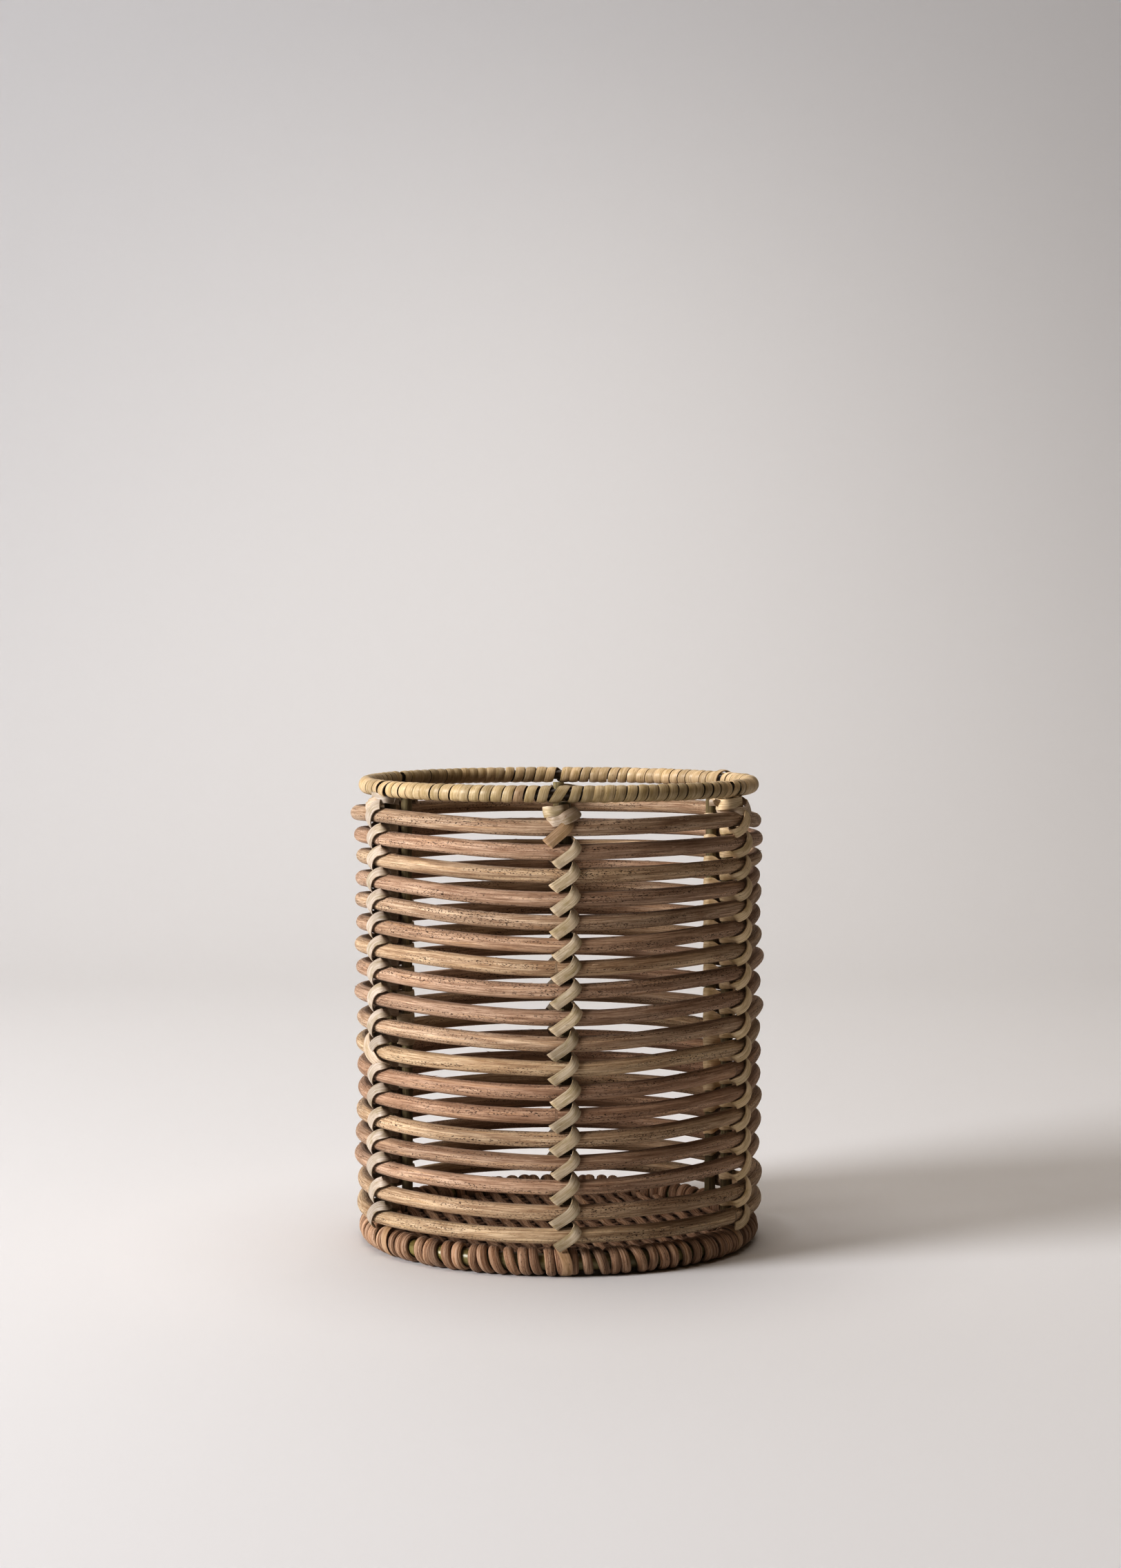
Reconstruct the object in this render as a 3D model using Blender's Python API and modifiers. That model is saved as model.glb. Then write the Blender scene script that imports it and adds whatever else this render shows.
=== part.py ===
"""Open-weave rattan wastebasket.

Metres, +Z up.  The origin is on the axis at floor level and the front is -Y.  Six stakes stand
inside eighteen rod hoops.  A cane lashing runs down each stake and binds every hoop to it.  The
top is a cane-wrapped rim, and the bottom is a reed-wrapped ring round a floor of two reed layers.
"""

import math

import bmesh
import bpy
from mathutils import Vector

# Driving dimensions.
CLEARANCE = 0.0003
STAKE_COUNT = 6
STAKE_RADIUS = 0.0035
HOOP_CIRCLE = 0.120
ROD_RADIUS = 0.0046
LOWEST_HOOP = 0.0238
LOWER_PITCH = 0.01393
MIDDLE_PITCH = 0.01524
UPPER_PITCH = 0.01361
LOWER_GAPS = 8
MIDDLE_GAPS = 2
UPPER_GAPS = 7

RIM_CIRCLE = 0.1179
RIM_HEIGHT = 0.2805
RIM_CORE_RADIUS = 0.0030
RIM_RADIUS = 0.0044
RIM_WALL = 0.0005

BASE_CIRCLE = 0.115
BASE_RADIUS = 0.00825
BASE_CORE_RADIUS = 0.0050
BASE_WALL = 0.0024
BASE_TIE_WIDTH = 0.008

CANE_WIDTH = 0.0046
CANE_THICKNESS = 0.0010
LASHING_REACH = 0.0058

TIE_ACROSS = 0.0095
TIE_DEEP = 0.0076
TIE_CIRCLE = 0.1138
TIE_WALL = 0.0011

FLOOR_REED_WIDTH = 0.0060
FLOOR_REED_THICKNESS = 0.0028
FLOOR_PITCH = 0.0102
FLOOR_RUNS = 19
FLOOR_TURN = math.radians(12.6)
FLOOR_UNDERSIDE = 0.0030

# Room left for the rounding of the facets.
TIE_GAP = 0.0009
FLOOR_GAP = 0.0009

# Facet counts.
HOOP_FACETS = 18
CORE_FACETS = 36
ROUND_SIDES = 6
BASE_SIDES = 8
SECTOR_STEPS = 6
TIE_FACETS = 12

SHARP_EDGE = math.radians(65)

# Colours and how rough each surface is.
ROD_COLOUR = (0.50, 0.32, 0.19)
CANE_COLOUR = (0.62, 0.52, 0.33)
REED_COLOUR = (0.36, 0.20, 0.12)
STAKE_COLOUR = (0.40, 0.34, 0.21)
CORE_COLOUR = (0.45, 0.43, 0.20)
ROD_ROUGHNESS = 0.62
CANE_ROUGHNESS = 0.42
REED_ROUGHNESS = 0.70
STAKE_ROUGHNESS = 0.65
CORE_ROUGHNESS = 0.40

STAKE_STEP = 2 * math.pi / STAKE_COUNT
STAKE_CIRCLE = HOOP_CIRCLE - ROD_RADIUS - CLEARANCE - STAKE_RADIUS


def clear_scene():
    for old in list(bpy.data.objects):
        bpy.data.objects.remove(old, do_unlink=True)


def make_material(name, colour, roughness):
    material = bpy.data.materials.new(name)
    material.use_nodes = True
    shader = material.node_tree.nodes["Principled BSDF"]
    shader.inputs["Base Color"].default_value = (*colour, 1.0)
    shader.inputs["Roughness"].default_value = roughness
    shader.inputs["Metallic"].default_value = 0.0
    return material


def keep(piece, name, material, collection):
    """Name a piece, give it its material and file it under the basket's collection."""
    piece.name = name
    piece.data.name = name
    piece.data.materials.append(material)
    for other in list(piece.users_collection):
        other.objects.unlink(piece)
    collection.objects.link(piece)
    return piece


def mesh_object(name, build):
    """Make an object from a bmesh that the build function fills."""
    shape = bmesh.new()
    build(shape)
    mesh = bpy.data.meshes.new(name)
    shape.to_mesh(mesh)
    shape.free()
    piece = bpy.data.objects.new(name, mesh)
    bpy.context.scene.collection.objects.link(piece)
    return piece


def outward(azimuth):
    """Unit vector away from the axis.  Azimuth 0 is the front, and it grows towards +X."""
    return Vector((math.sin(azimuth), -math.cos(azimuth), 0.0))


def rightward(azimuth):
    """Unit vector to the right of someone outside who faces the axis."""
    return Vector((math.cos(azimuth), math.sin(azimuth), 0.0))


def hoop_heights():
    """Centre heights of the hoops, from the top one down."""
    gaps = [LOWER_PITCH] * LOWER_GAPS + [MIDDLE_PITCH] * MIDDLE_GAPS + [UPPER_PITCH] * UPPER_GAPS
    heights = [LOWEST_HOOP]
    for gap in gaps:
        heights.append(heights[-1] + gap)
    return heights[::-1]


def add_ring(circle, height, tube_radius, facets, sides):
    bpy.ops.mesh.primitive_torus_add(
        major_radius=circle,
        minor_radius=tube_radius,
        major_segments=facets,
        minor_segments=sides,
        location=(0.0, 0.0, height),
        rotation=(0.0, 0.0, -math.pi / 2),
    )
    ring = bpy.context.object
    ring.data.shade_smooth()
    return ring


def add_hoops(collection, material):
    for number, height in enumerate(hoop_heights(), start=1):
        hoop = add_ring(HOOP_CIRCLE, height, ROD_RADIUS, HOOP_FACETS, ROUND_SIDES)
        keep(hoop, f"hoop_{number:02d}", material, collection)


def add_stakes(collection, material):
    """Stakes stand on the base ring and stop just under the rim."""
    foot = 2 * BASE_RADIUS + CLEARANCE
    head = RIM_HEIGHT - RIM_RADIUS - CLEARANCE
    for number in range(STAKE_COUNT):
        azimuth = number * STAKE_STEP
        centre = outward(azimuth) * STAKE_CIRCLE
        centre.z = (foot + head) / 2
        bpy.ops.mesh.primitive_cylinder_add(
            vertices=ROUND_SIDES,
            radius=STAKE_RADIUS,
            depth=head - foot,
            location=centre,
            rotation=(0.0, 0.0, azimuth + math.pi / ROUND_SIDES),
        )
        stake = bpy.context.object
        stake.data.shade_smooth()
        stake.data.set_sharp_from_angle(angle=SHARP_EDGE)
        keep(stake, f"stake_{number + 1}", material, collection)


def add_sleeve(circle, height, tube_radius, sides, wall, start, span, steps):
    """A hollow length of wrapping round a ring's core: a turned open tube with thickness."""
    turn = 2 * math.pi / sides
    reach = tube_radius / math.cos(turn / 2)

    def outline(shape):
        corners = []
        for side in range(sides):
            angle = (0.5 - side) * turn
            corner = Vector((circle + reach * math.cos(angle), 0.0, reach * math.sin(angle)))
            corners.append(shape.verts.new(corner))
        for first, second in zip(corners, corners[1:] + corners[:1]):
            shape.edges.new((first, second))

    sleeve = mesh_object("sleeve", outline)
    sleeve.location = (0.0, 0.0, height)
    sleeve.rotation_euler = (0.0, 0.0, start - math.pi / 2)
    sweep = sleeve.modifiers.new("sweep", "SCREW")
    sweep.angle = span
    sweep.steps = steps
    sweep.render_steps = steps
    sweep.use_merge_vertices = False
    sweep.use_smooth_shade = False
    skin = sleeve.modifiers.new("wall", "SOLIDIFY")
    skin.thickness = wall
    skin.offset = -1.0
    skin.use_even_offset = True
    return sleeve


def add_rim(collection, core_material, cane_material):
    core = add_ring(RIM_CIRCLE, RIM_HEIGHT, RIM_CORE_RADIUS, CORE_FACETS, ROUND_SIDES)
    keep(core, "rim_core", core_material, collection)
    margin = CLEARANCE / RIM_CIRCLE
    for number in range(STAKE_COUNT):
        start = number * STAKE_STEP + margin
        span = STAKE_STEP - 2 * margin
        wrap = add_sleeve(
            RIM_CIRCLE, RIM_HEIGHT, RIM_RADIUS, BASE_SIDES, RIM_WALL, start, span, SECTOR_STEPS
        )
        keep(wrap, f"rim_wrap_{number + 1}", cane_material, collection)


def add_base_ring(collection, core_material, reed_material, cane_material):
    """Reed wraps the base ring between the stakes, and a cane tie binds it at each stake."""
    core = add_ring(BASE_CIRCLE, BASE_RADIUS, BASE_CORE_RADIUS, CORE_FACETS, BASE_SIDES)
    keep(core, "base_core", core_material, collection)
    half_tie = BASE_TIE_WIDTH / 2 / BASE_CIRCLE
    margin = CLEARANCE / BASE_CIRCLE
    for number in range(STAKE_COUNT):
        middle = number * STAKE_STEP
        tie = add_sleeve(
            BASE_CIRCLE, BASE_RADIUS, BASE_RADIUS, BASE_SIDES, BASE_WALL,
            middle - half_tie, 2 * half_tie, 1,
        )
        keep(tie, f"base_tie_{number + 1}", cane_material, collection)
        start = middle + half_tie + margin
        span = STAKE_STEP - 2 * (half_tie + margin)
        wrap = add_sleeve(
            BASE_CIRCLE, BASE_RADIUS, BASE_RADIUS, BASE_SIDES, BASE_WALL,
            start, span, SECTOR_STEPS,
        )
        keep(wrap, f"base_wrap_{number + 1}", reed_material, collection)


def add_rim_ties(collection, material):
    """A tie is a flattened turn of cane round the head of a stake, between hoop and rim."""
    low = hoop_heights()[0] + ROD_RADIUS + TIE_GAP
    high = RIM_HEIGHT - RIM_RADIUS - CLEARANCE

    def outline(shape):
        ring = bmesh.ops.create_circle(shape, cap_ends=False, segments=TIE_FACETS, radius=1.0)
        for vert in ring["verts"]:
            vert.co.x *= TIE_ACROSS
            vert.co.y *= TIE_DEEP
        rise = bmesh.ops.extrude_edge_only(shape, edges=shape.edges[:])
        for part in rise["geom"]:
            if isinstance(part, bmesh.types.BMVert):
                part.co.z += high - low
        bmesh.ops.recalc_face_normals(shape, faces=shape.faces[:])

    for number in range(STAKE_COUNT):
        azimuth = number * STAKE_STEP
        tie = mesh_object("tie", outline)
        tie.location = outward(azimuth) * TIE_CIRCLE + Vector((0.0, 0.0, low))
        tie.rotation_euler = (0.0, 0.0, azimuth)
        skin = tie.modifiers.new("wall", "SOLIDIFY")
        skin.thickness = TIE_WALL
        skin.offset = -1.0
        skin.use_even_offset = True
        keep(tie, f"rim_tie_{number + 1}", material, collection)


def lashing_sections(azimuth):
    """Centre and face normal of the cane along one lashing.

    On each hoop the cane crosses the rod's face from upper right to lower left.  It then goes in
    below the hoop, flat round the back of the stake, and out above the next hoop.
    """
    out = outward(azimuth)
    right = rightward(azimuth)
    up = Vector((0.0, 0.0, 1.0))
    half = CANE_THICKNESS / 2
    round_rod = ROD_RADIUS + CLEARANCE + half
    round_stake = STAKE_RADIUS + CLEARANCE + half
    heights = hoop_heights()
    sections = []
    for height, below in zip(heights, heights[1:] + [None]):
        for slope, across in ((60, 1), (0, 0), (-60, -1)):
            angle = math.radians(slope)
            normal = out * math.cos(angle) + up * math.sin(angle)
            rod_centre = out * HOOP_CIRCLE + up * height
            centre = rod_centre + normal * round_rod + right * across * LASHING_REACH
            sections.append((centre, normal))
        if below is None:
            break
        middle = (height + below) / 2
        for bearing in (-90, -150, 150, 90):
            angle = math.radians(bearing)
            normal = out * math.cos(angle) + right * math.sin(angle)
            centre = out * STAKE_CIRCLE + up * middle + normal * round_stake
            sections.append((centre, normal))
    return sections


def add_ribbon(sections, width, thickness):
    """Loft a flat strip whose face follows the normal given for each section."""
    centres = [centre for centre, _ in sections]
    ends = [centres[0]] + centres + [centres[-1]]

    def loft(shape):
        rows = []
        for index, (centre, normal) in enumerate(sections):
            along = (ends[index + 2] - ends[index]).normalized()
            face = (normal - along * normal.dot(along)).normalized()
            side = along.cross(face)
            row = []
            for across, depth in ((-1, -1), (1, -1), (1, 1), (-1, 1)):
                corner = centre + side * across * width / 2 + face * depth * thickness / 2
                row.append(shape.verts.new(corner))
            rows.append(row)
        for row, after in zip(rows, rows[1:]):
            for corner in range(4):
                turned = (corner + 1) % 4
                # Opposite faces share the direction of their diagonals, so a twist stays open.
                if corner < 2:
                    shape.faces.new((row[corner], row[turned], after[turned]))
                    shape.faces.new((row[corner], after[turned], after[corner]))
                else:
                    shape.faces.new((row[corner], row[turned], after[corner]))
                    shape.faces.new((row[turned], after[turned], after[corner]))
        shape.faces.new(rows[0][::-1])
        shape.faces.new(rows[-1])
        bmesh.ops.recalc_face_normals(shape, faces=shape.faces[:])

    return mesh_object("ribbon", loft)


def add_lashings(collection, material):
    for number in range(STAKE_COUNT):
        sections = lashing_sections(number * STAKE_STEP)
        lashing = add_ribbon(sections, CANE_WIDTH, CANE_THICKNESS)
        keep(lashing, f"lashing_{number + 1}", material, collection)


def floor_path():
    """A reed laid to and fro across the floor, each turn kept inside the base ring."""
    limit = BASE_CIRCLE - BASE_RADIUS / math.cos(math.pi / BASE_SIDES) - FLOOR_GAP
    limit *= math.cos(STAKE_STEP / SECTOR_STEPS / 2)
    half = FLOOR_REED_WIDTH / 2
    path = []
    for run in range(FLOOR_RUNS):
        across = (run - (FLOOR_RUNS - 1) / 2) * FLOOR_PITCH
        ends = []
        for neighbour in (run - 1, run + 1):
            other = (neighbour - (FLOOR_RUNS - 1) / 2) * FLOOR_PITCH
            widest = max(abs(across), abs(other)) if 0 <= neighbour < FLOOR_RUNS else abs(across)
            ends.append(math.sqrt(limit ** 2 - (widest + half) ** 2) - half)
        way = 1 if run % 2 == 0 else -1
        path.append(Vector((across, -way * ends[0])))
        path.append(Vector((across, way * ends[1])))
    return path


def side_of(path, distance):
    """The path moved sideways by a distance, with mitred corners."""
    moved = []
    last = len(path) - 1
    for index, point in enumerate(path):
        before = (path[max(index, 1)] - path[max(index, 1) - 1]).normalized()
        after = (path[min(index, last - 1) + 1] - path[min(index, last - 1)]).normalized()
        normals = [Vector((-way.y, way.x)) for way in (before, after)]
        mitre = (normals[0] + normals[1]) / (1 + normals[0].dot(normals[1]))
        moved.append(point + mitre * distance)
    return moved


def add_floor_layer(name, height, turn, collection, material):
    path = floor_path()
    half = FLOOR_REED_WIDTH / 2
    outline = side_of(path, half) + side_of(path, -half)[::-1]
    curve = bpy.data.curves.new(name, "CURVE")
    curve.dimensions = "2D"
    curve.fill_mode = "BOTH"
    curve.extrude = FLOOR_REED_THICKNESS / 2
    spline = curve.splines.new("POLY")
    spline.points.add(len(outline) - 1)
    for target, point in zip(spline.points, outline):
        target.co = (point.x, point.y, 0.0, 1.0)
    spline.use_cyclic_u = True
    layer = bpy.data.objects.new(name, curve)
    bpy.context.scene.collection.objects.link(layer)
    layer.location = (0.0, 0.0, height)
    layer.rotation_euler = (0.0, 0.0, turn)
    keep(layer, name, material, collection)


def add_floor(collection, material):
    lower = FLOOR_UNDERSIDE + FLOOR_REED_THICKNESS / 2
    upper = lower + FLOOR_REED_THICKNESS + CLEARANCE
    add_floor_layer("floor_weft", lower, FLOOR_TURN + math.pi / 2, collection, material)
    add_floor_layer("floor_warp", upper, FLOOR_TURN, collection, material)


def main():
    clear_scene()
    basket = bpy.data.collections.new("wastebasket")
    bpy.context.scene.collection.children.link(basket)
    rod = make_material("rattan_rod", ROD_COLOUR, ROD_ROUGHNESS)
    cane = make_material("binding_cane", CANE_COLOUR, CANE_ROUGHNESS)
    reed = make_material("base_reed", REED_COLOUR, REED_ROUGHNESS)
    stake = make_material("stake", STAKE_COLOUR, STAKE_ROUGHNESS)
    core = make_material("ring_core", CORE_COLOUR, CORE_ROUGHNESS)
    add_hoops(basket, rod)
    add_stakes(basket, stake)
    add_lashings(basket, cane)
    add_rim(basket, core, cane)
    add_rim_ties(basket, cane)
    add_base_ring(basket, core, reed, cane)
    add_floor(basket, reed)


main()
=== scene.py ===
import math

import bpy
import numpy as np
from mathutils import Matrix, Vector


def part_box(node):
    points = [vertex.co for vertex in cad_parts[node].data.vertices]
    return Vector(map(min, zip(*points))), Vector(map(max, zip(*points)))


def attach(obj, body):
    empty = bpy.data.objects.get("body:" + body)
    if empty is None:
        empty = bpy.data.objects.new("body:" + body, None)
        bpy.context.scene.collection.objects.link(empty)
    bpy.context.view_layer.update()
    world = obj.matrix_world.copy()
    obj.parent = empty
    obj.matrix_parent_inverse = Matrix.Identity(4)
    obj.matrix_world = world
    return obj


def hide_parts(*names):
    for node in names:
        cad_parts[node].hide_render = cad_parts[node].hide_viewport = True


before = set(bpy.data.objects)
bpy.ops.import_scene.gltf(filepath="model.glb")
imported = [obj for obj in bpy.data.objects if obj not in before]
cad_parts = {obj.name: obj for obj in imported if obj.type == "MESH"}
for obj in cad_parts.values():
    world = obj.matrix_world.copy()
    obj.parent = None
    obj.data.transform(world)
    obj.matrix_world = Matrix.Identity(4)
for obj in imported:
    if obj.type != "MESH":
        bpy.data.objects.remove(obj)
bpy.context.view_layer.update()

# The looks of an open-weave rattan wastebasket.  Every strand is swept along a centre-line that is
# worked out from the CAD's own boxes.  Each real piece is one mesh with its grain and its tint
# stored on the points.  Lengths are in metres unless a comment says mm.

MM = 0.001
UP = np.array([0.0, 0.0, 1.0])
BODY = "root"
HOOPS = sorted(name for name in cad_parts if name.startswith("hoop_"))
STAKES = sorted(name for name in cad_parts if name.startswith("stake_"))
COUNT = len(STAKES)


# ---------------------------------------------------------------- sizes from the frame

def ring_of(node, sides):
    """Centre-line radius, tube radius and height of a CAD ring with that many sides."""
    low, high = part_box(node)
    widest = math.sin(math.radians(60)) if sides == 6 else 1.0
    tube = (high.z - low.z) / 2 / widest
    return (high.y - low.y) / 2 - tube, tube, (high.z + low.z) / 2


def half_height(node):
    """Half of how tall a CAD node is."""
    low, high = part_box(node)
    return (high.z - low.z) / 2


HOOP_CIRCLE, ROD_RADIUS, _ = ring_of(HOOPS[0], 6)
HOOP_HEIGHTS = [ring_of(name, 6)[2] for name in HOOPS]
RIM_CIRCLE, RIM_CORE, RIM_HEIGHT = ring_of("rim_core", 6)
RIM_RADIUS = half_height("rim_wrap_1")
BASE_CIRCLE, BASE_CORE, BASE_HEIGHT = ring_of("base_core", 8)
BASE_RADIUS = half_height("base_wrap_1")
STAKE_LOW, STAKE_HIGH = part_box(STAKES[0])
STAKE_RADIUS = (STAKE_HIGH.x - STAKE_LOW.x) / 2
STAKE_CIRCLE = -(STAKE_HIGH.y + STAKE_LOW.y) / 2
STAKE_STEP = 2 * math.pi / COUNT
FLOOR_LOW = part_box("floor_weft")[0].z
FLOOR_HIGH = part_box("floor_warp")[1].z


# ---------------------------------------------------------------- small maths

def outward(azimuth):
    """Unit vectors away from the axis.  Azimuth 0 is the front and grows towards +X."""
    azimuth = np.asarray(azimuth, float)
    return np.stack([np.sin(azimuth), -np.cos(azimuth), np.zeros_like(azimuth)], -1)


def rightward(azimuth):
    """Unit vectors along the wall, to the right of outward as seen from outside."""
    azimuth = np.asarray(azimuth, float)
    return np.stack([np.cos(azimuth), np.sin(azimuth), np.zeros_like(azimuth)], -1)


def unit(vectors):
    """The same vectors, one unit long."""
    return vectors / np.linalg.norm(vectors, axis=-1, keepdims=True)


def waves(seed, x, size, lowest=1, highest=5):
    """Smooth noise that repeats every full turn of x, about size high."""
    draw = np.random.default_rng(seed)
    total = np.zeros_like(np.asarray(x, float))
    for harmonic in range(lowest, highest + 1):
        phase = draw.uniform(0, 2 * math.pi)
        total += draw.normal() * np.sin(harmonic * x + phase) / math.sqrt(highest - lowest + 1)
    return total * size


def smooth_steps(seed, x, size):
    """Noise that takes a new random value at each whole number and eases between them."""
    draw = np.random.default_rng(seed)
    x = np.asarray(x, float)
    first = math.floor(x.min())
    values = draw.normal(0.0, size, int(math.ceil(x.max())) - first + 2)
    whole = np.floor(x).astype(int) - first
    part = x - np.floor(x)
    ease = part * part * (3 - 2 * part)
    return values[whole] * (1 - ease) + values[whole + 1] * ease


def spline(keys, per_span):
    """Catmull-Rom curve through rows of numbers."""
    keys = np.asarray(keys, float)
    padded = np.vstack([2 * keys[0] - keys[1], keys, 2 * keys[-1] - keys[-2]])
    t = np.linspace(0, 1, per_span, endpoint=False)[:, None]
    spans = []
    for a, b, c, d in zip(padded, padded[1:], padded[2:], padded[3:]):
        spans.append(0.5 * (2 * b + (c - a) * t + (2 * a - 5 * b + 4 * c - d) * t ** 2
                            + (3 * b - a - 3 * c + d) * t ** 3))
    return np.vstack(spans + [keys[-1:]])


# ---------------------------------------------------------------- section outlines

def round_section(points=20):
    """Unit circle."""
    angle = np.linspace(0, 2 * math.pi, points, endpoint=False)
    return np.stack([np.cos(angle), np.sin(angle)], -1)


STRIP_EDGE = 0.36
STRIP_FOOT = 0.97


def strip_section(crown=0.35, points=7):
    """A strip one unit wide and one thick, crowned on its outer face, with rounded edges."""
    across = np.sin(np.linspace(-1, 1, points) * math.pi / 2) * 0.5
    top = 0.5 - crown * (2 * across) ** 2
    bottom = np.full(points, -0.5)
    bottom[0] = bottom[-1] = -STRIP_EDGE
    upper = np.stack([across, top], -1)
    lower = np.stack([across * STRIP_FOOT, bottom], -1)[::-1]
    return np.vstack([lower, upper])


def reed_section(points=9):
    """A half-round reed one unit wide and one thick."""
    angle = np.linspace(0, math.pi, points)
    dome = np.stack([-np.cos(angle) * 0.5, -0.28 + 0.78 * np.sin(angle) ** 0.8], -1)
    foot = np.array([[0.36, -0.5], [0.0, -0.5], [-0.36, -0.5]])
    return np.vstack([dome, foot])


# ---------------------------------------------------------------- strands into meshes

class Bundle:
    """Strands of one real piece, gathered into one mesh with grain and tint on its points."""

    def __init__(self):
        """Start with no strands."""
        self.points = []
        self.quads = []
        self.caps = []
        self.grain = []
        self.tint = []
        self.edge = []
        self.total = 0

    def sweep(self, centres, normals, section, width, thick, tint, closed=False, start=0.0):
        """Carry a section along centres.

        The section's first axis lies across the strand and is scaled by width.  Its second axis
        follows the normals and is scaled by thick.  Start is where the strand's grain begins.
        """
        count = len(centres)
        if closed:
            along = np.roll(centres, -1, 0) - np.roll(centres, 1, 0)
        else:
            along = np.gradient(centres, axis=0)
        along = unit(along)
        face = unit(normals - along * np.sum(normals * along, -1, keepdims=True))
        side = np.cross(face, along)
        width = np.broadcast_to(np.asarray(width, float), (count,))
        thick = np.broadcast_to(np.asarray(thick, float), (count,))
        if np.ndim(section) == 2:
            section = np.broadcast_to(section, (count,) + section.shape)
        across = section[:, :, 0] * width[:, None]
        out = section[:, :, 1] * thick[:, None]
        points = (centres[:, None] + side[:, None] * across[..., None]
                  + face[:, None] * out[..., None])
        run = np.linalg.norm(np.diff(centres, axis=0), axis=1)
        length = start + np.concatenate([[0.0], np.cumsum(run)])
        sides = section.shape[1]
        grain = np.stack([np.broadcast_to(length[:, None], across.shape), across, out], -1)
        tint = np.broadcast_to(np.asarray(tint, float), (count, 3))
        self.points.append(points.reshape(-1, 3))
        self.grain.append(grain.reshape(-1, 3))
        self.tint.append(np.repeat(tint, sides, 0))
        self.edge.append(np.abs(section[:, :, 0]).reshape(-1) * 2)
        rows = np.arange(count if closed else count - 1)
        after = (rows + 1) % count
        columns = np.arange(sides)
        beside = (columns + 1) % sides
        corners = [rows[:, None] * sides + columns, after[:, None] * sides + columns,
                   after[:, None] * sides + beside, rows[:, None] * sides + beside]
        quads = np.stack(corners, -1).reshape(-1, 4) + self.total
        self.quads.append(quads)
        if not closed:
            first = np.arange(sides) + self.total
            last = first + (count - 1) * sides
            self.caps.append(first.tolist())
            self.caps.append(last[::-1].tolist())
        self.total += count * sides

    def make(self, name, material, replaced, sharp=None):
        """Turn the strands into one object that stands in for the replaced CAD nodes."""
        quads = np.vstack(self.quads).tolist()
        mesh = bpy.data.meshes.new(name)
        mesh.from_pydata(np.vstack(self.points).tolist(), [], quads + self.caps)
        grain = mesh.attributes.new("grain", "FLOAT_VECTOR", "POINT")
        grain.data.foreach_set("vector", np.vstack(self.grain).ravel())
        tint = mesh.attributes.new("tint", "FLOAT_VECTOR", "POINT")
        tint.data.foreach_set("vector", np.vstack(self.tint).ravel())
        edge = mesh.attributes.new("edge", "FLOAT", "POINT")
        edge.data.foreach_set("value", np.concatenate(self.edge))
        mesh.shade_smooth()
        if sharp:
            mesh.set_sharp_from_angle(angle=math.radians(sharp))
        mesh.materials.append(material)
        piece = bpy.data.objects.new(name, mesh)
        bpy.context.scene.collection.objects.link(piece)
        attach(piece, BODY)
        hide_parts(*replaced)
        return piece


# ---------------------------------------------------------------- materials

class Nodes:
    """Short calls for a material's nodes."""

    def __init__(self, name):
        self.material = bpy.data.materials.new(name)
        self.material.use_nodes = True
        self.tree = self.material.node_tree
        self.shader = self.tree.nodes["Principled BSDF"]

    def link(self, source, socket):
        self.tree.links.new(source, socket)

    def add(self, kind, **settings):
        node = self.tree.nodes.new(kind)
        for key, value in settings.items():
            setattr(node, key, value)
        return node

    def attribute(self, name):
        return self.add("ShaderNodeAttribute", attribute_name=name)

    def noise(self, vector, scale, stretch, detail=3.0, rough=0.55, warp=0.0):
        """Noise whose coordinates are stretched by three factors, from 0 to 1."""
        mapping = self.add("ShaderNodeMapping")
        mapping.inputs["Scale"].default_value = stretch
        self.link(vector, mapping.inputs["Vector"])
        texture = self.add("ShaderNodeTexNoise")
        texture.inputs["Scale"].default_value = scale
        texture.inputs["Detail"].default_value = detail
        texture.inputs["Roughness"].default_value = rough
        texture.inputs["Distortion"].default_value = warp
        self.link(mapping.outputs["Vector"], texture.inputs["Vector"])
        return texture.outputs["Fac"]

    def ramp(self, value, low, high, to_low=0.0, to_high=1.0):
        """Ease a value from one range to another."""
        node = self.add("ShaderNodeMapRange", interpolation_type="SMOOTHSTEP")
        node.inputs["From Min"].default_value = low
        node.inputs["From Max"].default_value = high
        node.inputs["To Min"].default_value = to_low
        node.inputs["To Max"].default_value = to_high
        self.link(value, node.inputs["Value"])
        return node.outputs["Result"]

    def maths(self, operation, first, second):
        """One sum of two values, each a number or a socket."""
        node = self.add("ShaderNodeMath", operation=operation)
        for socket, value in zip(node.inputs, (first, second)):
            if isinstance(value, (int, float)):
                socket.default_value = value
            else:
                self.link(value, socket)
        return node.outputs["Value"]

    def mix(self, factor, first, second, blend="MIX"):
        """Mix two colours, each a constant or a socket, by a factor."""
        node = self.add("ShaderNodeMix", data_type="RGBA", blend_type=blend)
        node.clamp_factor = True
        for index, value in ((0, factor), (6, first), (7, second)):
            socket = node.inputs[index]
            if isinstance(value, (int, float)):
                socket.default_value = value
            elif isinstance(value, tuple):
                socket.default_value = (*value, 1.0)
            else:
                self.link(value, socket)
        return node.outputs[2]

    def bump(self, height, distance, below=None):
        """Surface relief, on top of the relief below it."""
        node = self.add("ShaderNodeBump")
        node.inputs["Strength"].default_value = 1.0
        node.inputs["Distance"].default_value = distance
        self.link(height, node.inputs["Height"])
        if below:
            self.link(below, node.inputs["Normal"])
        return node.outputs["Normal"]


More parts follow.
